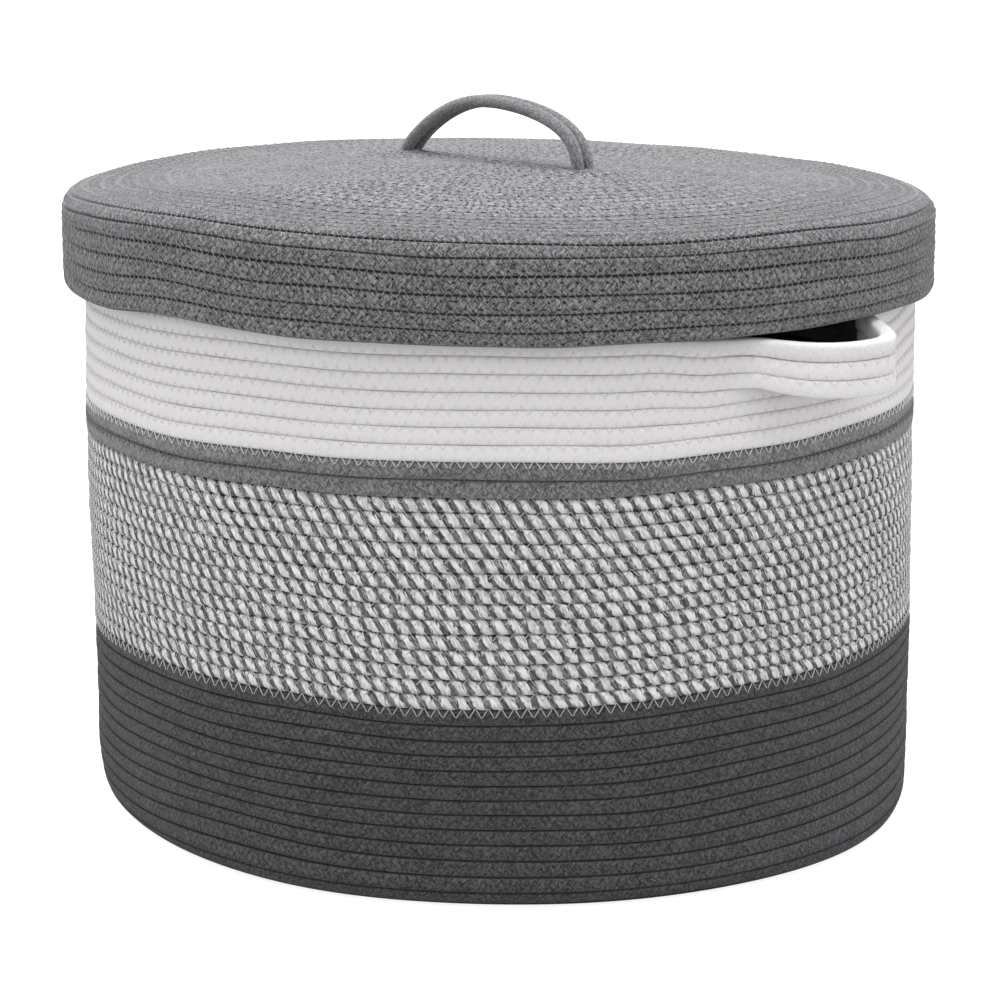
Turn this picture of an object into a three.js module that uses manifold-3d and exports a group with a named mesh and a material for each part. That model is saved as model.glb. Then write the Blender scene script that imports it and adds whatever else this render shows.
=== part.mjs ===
// Rope storage basket with a lift-off lid, in millimetres, +Z up.
// The origin is the middle of the base on the floor. The side handles lie on the X axis.
import * as THREE from 'three';
import { mergeVertices } from 'three/addons/utils/BufferGeometryUtils.js';
import Module from 'manifold-3d';

// Rope thicknesses
const CHARCOAL_ROPE = 8.8;
const TWIST_ROPE = 8.1;
const STRIPE_ROPE = 10;
const WHITE_ROPE = 9.5;
const LID_ROPE = 9.35;
const LOOP_ROPE = 7.6;

// Turns of rope, counted up the wall
const CHARCOAL_WALL_TURNS = 14;
const TWIST_TURNS = 14;
const STRIPE_TURNS = 2;
const WHITE_TURNS = 4;
const HANDLE_TURNS = 3;
const RIM_TURNS = 4.9;

// Basket body
const WALL_RADIUS = 250;
const BASE_FLARE = 3.5;
const BASE_CORNER = 8;
const GROOVE = 2;

// Side handles: three rows of the wall that swing out
const HANDLE_REACH = 38;
const HANDLE_HALF_SPAN = 76;
const HANDLE_DROOP = 8;
const HANDLE_DIP = 5;
const DIP_HALF_SPAN = 118;

// Lid
const LID_CLEARANCE = 2.9;
const LID_CROWN = 10;
const LID_CORNER = 10;
const SKIRT_TO_HANDLE = 0.8;

// Rope loop on the lid
const LOOP_HALF_SPAN = 74;
const LOOP_HEIGHT = 40;
const LOOP_TAIL = 30;

// Clearance between pieces that touch
const GAP = 0.3;

// The rope ends, and the steps where one band follows another, lie on this bearing
const SPLICE_ANGLE = THREE.MathUtils.degToRad(134.5);

// Facets
const SECTORS = 28;
const HANDLE_SAMPLES = 12;
const LOOP_STEPS = 20;
const TAIL_STEPS = 10;
const LOOP_SIDES = 8;

const TURN = 2 * Math.PI;
const COLOURS = {
  charcoal: { color: 0x47484b, roughness: 0.95, metalness: 0 },
  twist: { color: 0x9a9a9a, roughness: 0.95, metalness: 0 },
  stripe: { color: 0x6a6b6d, roughness: 0.95, metalness: 0 },
  white: { color: 0xe4e2df, roughness: 0.95, metalness: 0 },
  lid: { color: 0x76777a, roughness: 0.95, metalness: 0 },
};

// A meridian is a run of lines and arcs, drawn from the axis outwards
class Meridian {
  constructor(r, z, heading, pieces) {
    this.pieces = [];
    let start = { r, z, heading, from: 0 };
    for (const { length, bend } of pieces) {
      const piece = { ...start, length, curvature: bend / length };
      this.pieces.push(piece);
      const end = Meridian.along(piece, length);
      start = { ...end, from: piece.from + length };
    }
    this.length = start.from;
  }

  static along(piece, distance) {
    const { r, z, heading, curvature } = piece;
    const turned = heading + curvature * distance;
    if (curvature === 0) {
      return {
        r: r + distance * Math.cos(heading),
        z: z + distance * Math.sin(heading),
        heading,
      };
    }
    return {
      r: r + (Math.sin(turned) - Math.sin(heading)) / curvature,
      z: z - (Math.cos(turned) - Math.cos(heading)) / curvature,
      heading: turned,
    };
  }

  at(distance) {
    let found = this.pieces[0];
    for (const piece of this.pieces) {
      if (distance >= piece.from) found = piece;
    }
    return Meridian.along(found, distance - found.from);
  }
}

// The base has as many whole turns as lie flat inside its corner
const wallFootRadius = WALL_RADIUS + BASE_FLARE - CHARCOAL_ROPE / 2;
const wallTopRadius = WALL_RADIUS - WHITE_ROPE / 2;
const baseRun = wallFootRadius - BASE_CORNER;
const firstTurn = { base: 0, charcoal: Math.floor(baseRun / CHARCOAL_ROPE) };
firstTurn.twist = firstTurn.charcoal + CHARCOAL_WALL_TURNS;
firstTurn.stripe = firstTurn.twist + TWIST_TURNS;
firstTurn.white = firstTurn.stripe + STRIPE_TURNS;
firstTurn.handle = firstTurn.white + WHITE_TURNS;
firstTurn.rim = firstTurn.handle + HANDLE_TURNS;

// Distance along the meridian of the seam below turn u; it changes pitch half a turn into a new rope
function bodySeam(u) {
  const pitches = [
    [1, CHARCOAL_ROPE],
    [firstTurn.twist + 0.5, TWIST_ROPE],
    [firstTurn.stripe + 0.5, STRIPE_ROPE],
    [firstTurn.white + 0.5, WHITE_ROPE],
  ];
  let distance = 0;
  pitches.forEach(([start, pitch], i) => {
    const end = i + 1 < pitches.length ? pitches[i + 1][0] : Infinity;
    distance += pitch * Math.max(0, Math.min(u, end) - start);
  });
  return distance;
}

// Body: base, corner, and a wall that leans in by the flare
const rimDistance = bodySeam(firstTurn.rim + 0.5) + RIM_TURNS * WHITE_ROPE;
const wallRun = rimDistance - baseRun - (BASE_CORNER * Math.PI) / 2;
const wallLean = (wallFootRadius - wallTopRadius) / wallRun;
const bodyMeridian = new Meridian(0, CHARCOAL_ROPE / 2, 0, [
  { length: baseRun, bend: 0 },
  { length: BASE_CORNER * (Math.PI / 2 + wallLean), bend: Math.PI / 2 + wallLean },
  { length: wallRun, bend: 0 },
]);
const rimHeight = bodyMeridian.at(rimDistance).z;

// Side handle curve, by the arc distance from the handle's middle
function arcFromHandle(angle) {
  const fold = Math.atan2(Math.sin(2 * angle), Math.cos(2 * angle)) / 2;
  return fold * wallTopRadius;
}

function smooth(t) {
  const x = THREE.MathUtils.clamp(t, 0, 1);
  return x * x * (3 - 2 * x);
}

function handleOut(angle) {
  const x = arcFromHandle(angle) / HANDLE_HALF_SPAN;
  return Math.abs(x) < 1 ? HANDLE_REACH * (1 - x * x) ** 2 : 0;
}

function handleDip(angle) {
  const past = (DIP_HALF_SPAN - Math.abs(arcFromHandle(angle))) / (DIP_HALF_SPAN - HANDLE_HALF_SPAN);
  return HANDLE_DIP * smooth(past);
}

// The rows droop only where they already stand clear in front of the wall below them
function handleDroop(angle) {
  const clear = WHITE_ROPE + GROOVE;
  return HANDLE_DROOP * smooth((handleOut(angle) - clear) / (HANDLE_REACH - clear));
}

// Below the handles each row dips a little more than the one under it
function whiteWallSway(angle, u) {
  const share = THREE.MathUtils.clamp((u - firstTurn.white - 1) / (WHITE_TURNS - 1), 0, 1);
  return { out: () => 0, down: handleDip(angle) * share };
}

function handleSway(angle) {
  return { out: handleOut, down: handleDip(angle) + handleDroop(angle) };
}

function stillSway() {
  return { out: () => 0, down: 0 };
}

// Lid: a shallow crown, a rounded shoulder and a skirt that stops just above the side handles
const skirtRadius = WALL_RADIUS + LID_CLEARANCE + LID_ROPE / 2;
const crownReach = skirtRadius - LID_CORNER;
const crownRadius = (crownReach ** 2 + LID_CROWN ** 2) / (2 * LID_CROWN);
const crownAngle = Math.asin(crownReach / crownRadius);
const shoulderRadius = LID_CORNER / (1 - Math.sin(crownAngle));
const shoulderDrop = shoulderRadius * Math.cos(crownAngle);
const shoulderCentre = crownReach - shoulderRadius * Math.sin(crownAngle);

// The lid rests on the rim's outer edge, which its flat facets meet a little further in
const rimEdge = (WALL_RADIUS - GROOVE) / Math.cos(Math.PI / SECTORS);
const restDrop = Math.sqrt((shoulderRadius - LID_ROPE / 2) ** 2 - (rimEdge - shoulderCentre) ** 2);
const lidEdgeHeight = rimHeight + GAP + shoulderDrop - restDrop;
const handleTurnFraction = 1 - SPLICE_ANGLE / TURN + DIP_HALF_SPAN / wallTopRadius / TURN;
const handleTopSeam = bodySeam(firstTurn.rim + handleTurnFraction);
const skirtBottom = bodyMeridian.at(handleTopSeam).z - HANDLE_DIP + SKIRT_TO_HANDLE;
const skirtRun = lidEdgeHeight - shoulderDrop - skirtBottom;
const lidMeridian = new Meridian(0, lidEdgeHeight + LID_CROWN, 0, [
  { length: crownRadius * crownAngle, bend: -crownAngle },
  { length: shoulderRadius * (Math.PI / 2 - crownAngle), bend: crownAngle - Math.PI / 2 },
  { length: skirtRun, bend: 0 },
]);

const lidTopTurns = Math.floor((crownRadius * crownAngle) / LID_ROPE);

function lidSeam(u) {
  return LID_ROPE * Math.max(0, u - 0.5);
}

// Sample places in one turn, as fractions of it
function evenSamples(count) {
  return Array.from({ length: count + 1 }, (_, i) => i / count);
}

function coilSamples(turn) {
  if (turn < 5) return evenSamples(SECTORS / 4);
  if (turn < 13) return evenSamples(SECTORS / 2);
  return evenSamples(SECTORS);
}

function wallSamples() {
  return evenSamples(SECTORS);
}

function handleSamples() {
  const reach = DIP_HALF_SPAN / wallTopRadius / TURN;
  const samples = evenSamples(SECTORS).filter((f) => {
    const apart = Math.abs(arcFromHandle(SPLICE_ANGLE + f * TURN)) / wallTopRadius / TURN;
    return f === 0 || f === 1 || apart > reach + 0.3 / SECTORS;
  });
  for (const bearing of [0, Math.PI]) {
    const middle = THREE.MathUtils.euclideanModulo((bearing - SPLICE_ANGLE) / TURN, 1);
    for (let i = -HANDLE_SAMPLES / 2; i <= HANDLE_SAMPLES / 2; i += 1) {
      samples.push(middle + (i / (HANDLE_SAMPLES / 2)) * reach);
    }
  }
  return samples.sort((a, b) => a - b);
}

// Profiles of one row: [place across the row, share of the groove's depth]
const ROUND_ROWS = [[0, 1], [0.27, 0], [0.73, 0]];
const SOFT_ROWS = [[0, 1], [0.5, 0]];
const PLAIN_ROWS = [[0, 0], [0.5, 0]];

// Triangles between two lines of points, each point with its own place t along the line
function zip(a, b) {
  const triangles = [];
  let i = 0;
  let j = 0;
  while (i < a.length - 1 || j < b.length - 1) {
    const nextA = i < a.length - 1 ? a[i + 1].t : Infinity;
    const nextB = j < b.length - 1 ? b[j + 1].t : Infinity;
    if (nextA <= nextB) {
      triangles.push([a[i], a[i + 1], b[j]]);
      i += 1;
    } else {
      triangles.push([a[i], b[j + 1], b[j]]);
      j += 1;
    }
  }
  return triangles;
}

// Splits the triangle on edge from-to at the point that another panel has there
function splitEdge(triangles, from, to, middle) {
  return triangles.flatMap((triangle) => {
    if (!triangle.includes(from) || !triangle.includes(to)) return [triangle];
    return [
      triangle.map((p) => (p === to ? middle : p)),
      triangle.map((p) => (p === from ? middle : p)),
    ];
  });
}

// One band of coiled rope as a closed solid. The right face is the one that lies to the right
// of the meridian, which is outside on the body and underneath on the lid.
function coilSolid(spec) {
  const { meridian, seam, rope, first, last, limit, samples, sway } = spec;
  const top = last + 1;

  function seamAt(u) {
    let back = 0;
    if (u <= first + 1 && first > spec.begin) back = GAP / 2;
    if (u >= top && !spec.free) back = -GAP / 2;
    return THREE.MathUtils.clamp(seam(u) + back, 0, limit);
  }

  // A row that is pared down to nothing loses its roundness on the way
  function point(u, across, side, groove, t) {
    const thickness = seamAt(u + 1) - seamAt(u);
    const distance = seamAt(u) + across * thickness;
    const depth = Math.max(groove, spec.free ? GROOVE * (1 - thickness / rope) : 0);
    const { r, z, heading } = meridian.at(distance);
    let angle = SPLICE_ANGLE + u * TURN;
    if (first > spec.begin && (u === first || u === first + 1)) angle += GAP / 2 / r;
    if (!spec.free && (u === top || u === top + 1)) angle -= GAP / 2 / r;
    const { out, down } = sway(angle, u + across);
    const offset = side * (rope / 2 - depth);
    const step = 0.001;
    const slope = (out(angle + step) - out(angle - step)) / (2 * step);
    const centre = r + out(angle);
    const length = Math.hypot(centre, slope) || 1;
    const normal = r > 0 ? { radial: centre / length, along: -slope / length } : { radial: 1, along: 0 };
    const radial = centre + offset * Math.sin(heading) * normal.radial;
    const along = offset * Math.sin(heading) * normal.along;
    const p = new THREE.Vector3(
      radial * Math.cos(angle) - along * Math.sin(angle),
      radial * Math.sin(angle) + along * Math.cos(angle),
      z - offset * Math.cos(heading) - down,
    );
    p.t = t;
    return p;
  }

  function line(turn, across, side, depth) {
    const count = Math.min(turn, last);
    return samples(count).map((f) => point(turn + f, across, side, depth, f));
  }

  const facets = [];
  const addRight = (triangles) => facets.push(...triangles);
  const addLeft = (triangles) => facets.push(...triangles.map(([a, b, c]) => [a, c, b]));

  function dressedFace(side, rows) {
    const add = side > 0 ? addRight : addLeft;
    for (let turn = first; turn <= last; turn += 1) {
      const lines = rows.map(([across, share]) => line(turn, across, side, share * GROOVE));
      lines.push(line(turn + 1, 0, side, rows[0][1] * GROOVE));
      for (let i = 1; i < lines.length; i += 1) add(zip(lines[i - 1], lines[i]));
    }
  }

  function plainFace(side, turns) {
    const add = side > 0 ? addRight : addLeft;
    for (let i = 1; i < turns.length; i += 1) {
      const low = line(turns[i - 1], 0, side, 0);
      const high = line(turns[i], 0, side, 0);
      let panel = zip(low, high);
      if (turns[i] - turns[i - 1] > 1) {
        panel = splitEdge(panel, low[0], high[0], low[low.length - 1]);
        panel = splitEdge(panel, low[low.length - 1], high[high.length - 1], high[0]);
      }
      add(panel);
    }
  }

  function endProfile(u, side) {
    const rows = side > 0 ? spec.right.rows : spec.left.rows;
    const places = rows || [[0, 0]];
    const points = places.map(([across, share]) => point(u, across, side, share * GROOVE, across));
    points.push(point(u + 1, 0, side, places[0][1] * GROOVE, 1));
    return points;
  }

  function edgeLine(turn, side) {
    const { rows } = side > 0 ? spec.right : spec.left;
    return line(turn, 0, side, rows ? rows[0][1] * GROOVE : 0);
  }

  for (const [side, face] of [[1, spec.right], [-1, spec.left]]) {
    if (face.rows) dressedFace(side, face.rows);
    else plainFace(side, face.turns);
  }
  facets.push(...zip(edgeLine(first, -1), edgeLine(first, 1)));
  facets.push(...zip(edgeLine(top, 1), edgeLine(top, -1)));
  facets.push(...zip(endProfile(first, 1), endProfile(first, -1)));
  facets.push(...zip(endProfile(top, -1), endProfile(top, 1)));
  return weld(facets);
}

// Joins equal corners and drops triangles that have closed up
function weld(facets) {
  const positions = facets.flatMap((facet) => facet.flatMap((p) => [p.x, p.y, p.z]));
  const soup = new THREE.BufferGeometry();
  soup.setAttribute('position', new THREE.Float32BufferAttribute(positions, 3));
  const merged = mergeVertices(soup, 1e-3);
  const corners = merged.index.array;
  const kept = [];
  for (let i = 0; i < corners.length; i += 3) {
    const [a, b, c] = corners.slice(i, i + 3);
    if (a !== b && b !== c && c !== a) kept.push(a, b, c);
  }
  merged.setIndex(kept);
  return merged;
}

const basket = new THREE.Group();

function addMesh(name, geometry, colour) {
  geometry.computeVertexNormals();
  const mesh = new THREE.Mesh(geometry, new THREE.MeshStandardMaterial(COLOURS[colour]));
  mesh.name = name;
  basket.add(mesh);
}

const bodyCoil = {
  meridian: bodyMeridian,
  seam: bodySeam,
  limit: rimDistance,
  begin: 0,
  sway: stillSway,
};

// Base
addMesh('base_coil', coilSolid({
  ...bodyCoil,
  rope: CHARCOAL_ROPE,
  first: firstTurn.base,
  last: firstTurn.charcoal - 1,
  samples: coilSamples,
  right: { turns: [firstTurn.base, firstTurn.charcoal] },
  left: { rows: SOFT_ROWS },
}), 'charcoal');

// Wall bands up to the handles
const cornerTurns = [0, 1, 2, 3, 4].map((i) => firstTurn.charcoal + i);
addMesh('charcoal_wall', coilSolid({
  ...bodyCoil,
  rope: CHARCOAL_ROPE,
  first: firstTurn.charcoal,
  last: firstTurn.twist - 1,
  samples: wallSamples,
  right: { rows: ROUND_ROWS },
  left: { turns: [...cornerTurns, firstTurn.twist] },
}), 'charcoal');

addMesh('twist_wall', coilSolid({
  ...bodyCoil,
  rope: TWIST_ROPE,
  first: firstTurn.twist,
  last: firstTurn.stripe - 1,
  samples: wallSamples,
  right: { rows: ROUND_ROWS },
  left: { turns: [firstTurn.twist, firstTurn.stripe] },
}), 'twist');

addMesh('stripe_wall', coilSolid({
  ...bodyCoil,
  rope: STRIPE_ROPE,
  first: firstTurn.stripe,
  last: firstTurn.white - 1,
  samples: wallSamples,
  right: { rows: ROUND_ROWS },
  left: { turns: [firstTurn.stripe, firstTurn.white] },
}), 'stripe');

addMesh('white_wall', coilSolid({
  ...bodyCoil,
  rope: WHITE_ROPE,
  first: firstTurn.white,
  last: firstTurn.handle - 1,
  samples: handleSamples,
  sway: whiteWallSway,
  right: { rows: ROUND_ROWS },
  left: { turns: [firstTurn.white, firstTurn.handle] },
}), 'white');

// Rows that swing out as the two side handles
addMesh('handle_rows', coilSolid({
  ...bodyCoil,
  rope: WHITE_ROPE,
  first: firstTurn.handle,
  last: firstTurn.rim - 1,
  samples: handleSamples,
  sway: handleSway,
  right: { rows: ROUND_ROWS },
  left: { rows: SOFT_ROWS },
}), 'white');

// Rows above the handles, pared down over the last turn so that the rim is level
const rimLast = firstTurn.rim + Math.ceil(RIM_TURNS + 0.5) - 1;
addMesh('rim_rows', coilSolid({
  ...bodyCoil,
  rope: WHITE_ROPE,
  first: firstTurn.rim,
  last: rimLast,
  free: true,
  samples: wallSamples,
  right: { rows: ROUND_ROWS },
  left: { turns: [firstTurn.rim, rimLast + 1] },
}), 'white');

// Lid
const lidCoil = {
  meridian: lidMeridian,
  seam: lidSeam,
  rope: LID_ROPE,
  limit: lidMeridian.length,
  begin: -1,
  sway: stillSway,
};

const lidTop = coilSolid({
  ...lidCoil,
  first: -1,
  last: lidTopTurns - 1,
  samples: coilSamples,
  right: { turns: [-1, 5, 12, 19, lidTopTurns].filter((turn, i) => i === 4 || turn < lidTopTurns) },
  left: { rows: SOFT_ROWS },
});

const skirtLast = Math.ceil(lidMeridian.length / LID_ROPE + 0.5) - 1;
const lidSkirt = coilSolid({
  ...lidCoil,
  first: lidTopTurns,
  last: skirtLast,
  free: true,
  samples: wallSamples,
  right: { rows: PLAIN_ROWS },
  left: { rows: ROUND_ROWS },
});

// Loop on the lid: two ropes side by side that stand on the lid and lean about their feet
const loopSpread = LOOP_ROPE / 2 + GAP / 2;
const footRadius = loopSpread + LOOP_ROPE / 2;
const lidAtLoop = lidMeridian.at(LOOP_HALF_SPAN).z + LID_ROPE / 2;
const hingeHeight = lidAtLoop + GAP + footRadius;
const loopRise = lidMeridian.at(0).z + LID_ROPE / 2 + LOOP_HEIGHT - LOOP_ROPE / 2 - hingeHeight;

function ropeSection() {
  const corners = [];
  for (let i = 0; i < LOOP_SIDES; i += 1) {
    const angle = ((i + 0.5) * TURN) / LOOP_SIDES;
    corners.push(new THREE.Vector2(Math.cos(angle), Math.sin(angle)).multiplyScalar(LOOP_ROPE / 2));
  }
  return new THREE.Shape(corners);
}

class LoopArch extends THREE.Curve {
  constructor(y) {
    super();
    this.y = y;
  }

  getPoint(t, target = new THREE.Vector3()) {
    const angle = Math.PI * t;
    return target.set(
      -LOOP_HALF_SPAN * Math.cos(angle),
      this.y,
      hingeHeight + loopRise * Math.sin(angle),
    );
  }
}

// The feet end on a round about the line that the loop leans about
function loopRope(side) {
  const path = new LoopArch(side * loopSpread);
  const geometry = new THREE.ExtrudeGeometry(ropeSection(), { steps: LOOP_STEPS, extrudePath: path });
  const position = geometry.getAttribute('position');
  for (let i = 0; i < position.count; i += 1) {
    if (position.getZ(i) < hingeHeight + 0.01) {
      const y = position.getY(i);
      position.setZ(i, hingeHeight - Math.sqrt(Math.max(0, footRadius ** 2 - y ** 2)));
    }
  }
  return geometry;
}

// Each rope's tail goes down through the lid and is sewn flat under it
const tailBend = LOOP_ROPE * 0.8;
const tailTop = lidAtLoop - GAP;
const tailLevel = lidMeridian.at(LOOP_HALF_SPAN).z - LID_ROPE / 2 - GAP - LOOP_ROPE / 2 - 1;

function tailRope(end, side) {
  const y = side * loopSpread;
  const path = new THREE.CurvePath();
  const down = new THREE.Vector3(end * LOOP_HALF_SPAN, y, tailTop);
  const turnFrom = new THREE.Vector3(end * LOOP_HALF_SPAN, y, tailLevel + tailBend);
  const corner = new THREE.Vector3(end * LOOP_HALF_SPAN, y, tailLevel);
  const turnTo = new THREE.Vector3(end * (LOOP_HALF_SPAN + tailBend), y, tailLevel);
  const tip = new THREE.Vector3(end * (LOOP_HALF_SPAN + LOOP_TAIL), y, tailLevel);
  path.add(new THREE.LineCurve3(down, turnFrom));
  path.add(new THREE.QuadraticBezierCurve3(turnFrom, corner, turnTo));
  path.add(new THREE.LineCurve3(turnTo, tip));
  return new THREE.ExtrudeGeometry(ropeSection(), { steps: TAIL_STEPS, extrudePath: path });
}

// Holes through the lid for the tails
const wasm = await Module();
wasm.setup();

function toSolid(geometry) {
  const bare = new THREE.BufferGeometry();
  bare.setAttribute('position', geometry.getAttribute('position').clone());
  if (geometry.index) bare.setIndex(geometry.index.clone());
  const merged = mergeVertices(bare, 1e-3);
  return new wasm.Manifold(new wasm.Mesh({
    numProp: 3,
    vertProperties: new Float32Array(merged.getAttribute('position').array),
    triVerts: new Uint32Array(merged.index.array),
  }));
}

function toGeometry(solid) {
  const mesh = solid.getMesh();
  const geometry = new THREE.BufferGeometry();
  geometry.setAttribute('position', new THREE.BufferAttribute(mesh.vertProperties, 3));
  geometry.setIndex(new THREE.BufferAttribute(mesh.triVerts, 1));
  return geometry;
}

function tailHole(end, side) {
  const drill = new THREE.CylinderGeometry(LOOP_ROPE / 2 + GAP, LOOP_ROPE / 2 + GAP, 4 * LID_ROPE, LOOP_SIDES);
  drill.rotateX(Math.PI / 2);
  drill.rotateZ(Math.PI / LOOP_SIDES);
  drill.translate(end * LOOP_HALF_SPAN, side * loopSpread, lidAtLoop);
  return toSolid(drill);
}

let drilledTop = toSolid(lidTop);
for (const end of [-1, 1]) {
  for (const side of [-1, 1]) {
    drilledTop = drilledTop.subtract(tailHole(end, side));
  }
}

addMesh('lid_top', toGeometry(drilledTop), 'lid');
addMesh('lid_skirt', lidSkirt, 'lid');

addMesh('loop_rope_front', loopRope(-1), 'lid');
addMesh('loop_rope_back', loopRope(1), 'lid');

for (const [end, place] of [[-1, 'left'], [1, 'right']]) {
  addMesh(`loop_tail_${place}_front`, tailRope(end, -1), 'lid');
  addMesh(`loop_tail_${place}_back`, tailRope(end, 1), 'lid');
}

export default basket;
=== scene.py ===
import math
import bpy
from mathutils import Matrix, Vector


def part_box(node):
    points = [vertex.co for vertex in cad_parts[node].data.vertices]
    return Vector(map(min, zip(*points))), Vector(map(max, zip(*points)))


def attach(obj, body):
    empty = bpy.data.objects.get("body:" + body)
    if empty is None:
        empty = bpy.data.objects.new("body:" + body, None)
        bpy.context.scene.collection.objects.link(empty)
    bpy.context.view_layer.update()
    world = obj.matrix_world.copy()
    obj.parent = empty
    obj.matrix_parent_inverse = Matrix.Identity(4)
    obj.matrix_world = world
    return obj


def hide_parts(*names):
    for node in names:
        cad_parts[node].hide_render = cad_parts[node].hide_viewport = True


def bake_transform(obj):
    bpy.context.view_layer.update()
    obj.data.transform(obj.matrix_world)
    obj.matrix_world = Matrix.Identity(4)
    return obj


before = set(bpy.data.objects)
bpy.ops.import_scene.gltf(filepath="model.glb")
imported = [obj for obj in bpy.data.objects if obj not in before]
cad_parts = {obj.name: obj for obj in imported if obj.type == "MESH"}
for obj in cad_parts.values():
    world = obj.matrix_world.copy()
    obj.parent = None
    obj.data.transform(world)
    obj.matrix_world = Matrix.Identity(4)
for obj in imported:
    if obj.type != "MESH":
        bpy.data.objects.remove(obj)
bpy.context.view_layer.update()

# Rope storage basket: coiled ropes, sewing thread, rope loop, light and camera, in metres.
from types import SimpleNamespace

import bpy
import numpy as np
from mathutils import Matrix, Vector

MM = 0.001
TURN = 2 * math.pi

# Rope thicknesses, as in the solids
CHARCOAL_ROPE = 8.8 * MM
TWIST_ROPE = 8.1 * MM
STRIPE_ROPE = 10 * MM
WHITE_ROPE = 9.5 * MM
LID_ROPE = 9.35 * MM
LOOP_ROPE = 7.6 * MM

# Turns of rope up the wall
CHARCOAL_WALL_TURNS = 14
TWIST_TURNS = 14
STRIPE_TURNS = 2
WHITE_TURNS = 4
HANDLE_TURNS = 3
RIM_TURNS = 4.9

# Where a coil's rope begins, and how far before a whole turn it ends, in turns
COIL_START = 0.1
COIL_END = 0.12

# Basket body
WALL_RADIUS = 250 * MM
BASE_FLARE = 3.5 * MM
BASE_CORNER = 8 * MM
SPLICE_ANGLE = math.radians(134.5)

# Side handles
HANDLE_REACH = 40 * MM
HANDLE_HALF_SPAN = 76 * MM
HANDLE_SHORT_SPAN = 50 * MM
HANDLE_PEAK = 4 * MM
HANDLE_DROOP = 5 * MM
HANDLE_SPREAD = 3 * MM
HANDLE_DIP = 5 * MM
DIP_HALF_SPAN = 118 * MM

# Lid
LID_CLEARANCE = 2.9 * MM
LID_CROWN = 10 * MM
LID_CORNER = 10 * MM

# Rope loop on the lid: slack on the left, upright on the right
LOOP_HALF_SPAN = 73.5 * MM
LOOP_SHIFT = -4.3 * MM
LOOP_GAP = 0.3 * MM
LOOP_TAIL = 30 * MM
LOOP_BEND = 0.8 * LOOP_ROPE
LOOP_STEP = 2 * MM
LOOP_FULLNESS_LEFT = 1.42
LOOP_FULLNESS_RIGHT = 2.4

# The twisted rope: one full turn of a strand
TWIST_LAY = 17.4 * MM
TWIST_STRANDS = 4
WHITE_SHARE = 0.55
RIDGE = 0.05

# Sewing: one zigzag of the thread, and how far it reaches over the row above and below a seam
BODY_STITCH = 6.9 * MM
TWIST_STITCH = 8.05 * MM
LID_STITCH = 7.9 * MM
THREAD = 0.55 * MM
THREAD_LIFT = 0.3 * THREAD
THREAD_SINK = 1.6 * THREAD
REACH = 2.6 * MM
TWIST_REACH = (3.0 * MM, 1.3 * MM)

# The photograph's camera: bearing round the basket, and how the soft basket leans in its view
BEARING = math.radians(44.5)
CAMERA_DISTANCE = 1.744
CAMERA_HEIGHT = 0.562
CAMERA_PITCH = math.radians(12.59)
CAMERA_LENS = 103.9
CAMERA_ROLL = math.radians(0.25)
CAMERA_SHIFT = -0.00144
BASE_SHIFT = 1.4 * MM
RIM_SHIFT = -2.6 * MM
ROW_TILT = 0.0044
RIM_TILT = 0.010

# Lamps: bearing from the camera's side in degrees, distance, height, size and power in watts
LAMPS = [
    ("top", 0, 0.15, 2.6, 2.2, 60),
    ("left", -60, 2.4, 1.3, 1.6, 4),
    ("right", 65, 2.4, 1.2, 1.6, 2.5),
]
LAMP_AIM = (0, 0, 0.2)

# The floor's grey, its glow to the camera, and the strength of the white surroundings
FLOOR_REACH = 12
FLOOR_GREY = 0.5
FLOOR_GLOW = 0.86
SURROUNDINGS = 0.95

# Where the soft rows sit off their even course: the bearing from the camera's side in degrees
# and the height in mm of the middle, the half widths there, and how far they rise in mm
BODY_SLACK = [
    (-2, 125, 26, 55, -3.2),
    (-38, 30, 13, 28, 3.7),
    (22, 45, 18, 40, -2.3),
    (18, 272, 9, 42, -3.0),
    (50, 150, 12, 40, -2.7),
    (-60, 135, 14, 45, 2.5),
    (28, 248, 16, 12, -1.8),
    (36, 275, 8, 14, 1.6),
]
LID_SLACK = [
    (-43, 335, 12, 40, 4.0),
    (8, 345, 26, 60, -1.5),
    (38, 372, 30, 10, -2.0),
    (-100, 370, 35, 22, -3.6),
    (105, 370, 40, 22, -2.8),
    (0, 355, 200, 11, 2.0),
]

# Where the foot of the wall bulges out, written the same way
FOOT_BULGE = [
    (50, 0, 24, 30, 9.5),
    (14, 0, 20, 22, 4.5),
    (-24, 0, 20, 18, 4.5),
    (-80, 0, 32, 22, -5.0),
    (92, 0, 28, 24, -5.0),
]

# How the rope loop pulls the lid up at its feet
PULL = 2.6 * MM
PULL_RADIUS = 17 * MM

# How far the rows wander up and swell out, on the body, on the lid and in each row
BODY_DRIFT, BODY_SWELL = 0.7 * MM, 0.9 * MM
LID_DRIFT, LID_SWELL = 0.9 * MM, 0.8 * MM
ROW_DRIFT, ROW_SWELL = 0.25 * MM, 0.3 * MM

# Swells right round the wall: the height of the middle, the half height and how far out, in mm
WALL_SWELLS = [(190, 50, 0.5), (45, 40, -1.0)]

# Fullness of a rope's section: 2 is round, more is squarer. A crown lowers the section's edges
BRAID_FULLNESS = 4.4
FLUSH_FULLNESS = 10
WHITE_FULLNESS = 16
WHITE_CROWN = 0.14
TWIST_FULLNESS = 10
TWIST_CROWN = 0.08

# Points of a rope's section, the distance between sections, and the fewest in a turn
BRAID_SIDES = 18
BRAID_STEP = 7 * MM
TWIST_STEP = 1.6 * MM
STRAND_SIDES = 7
LEAST_PER_TURN = 18

# Steps a turn of the table that gives a seam's length
GRID_PER_TURN = 64

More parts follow.
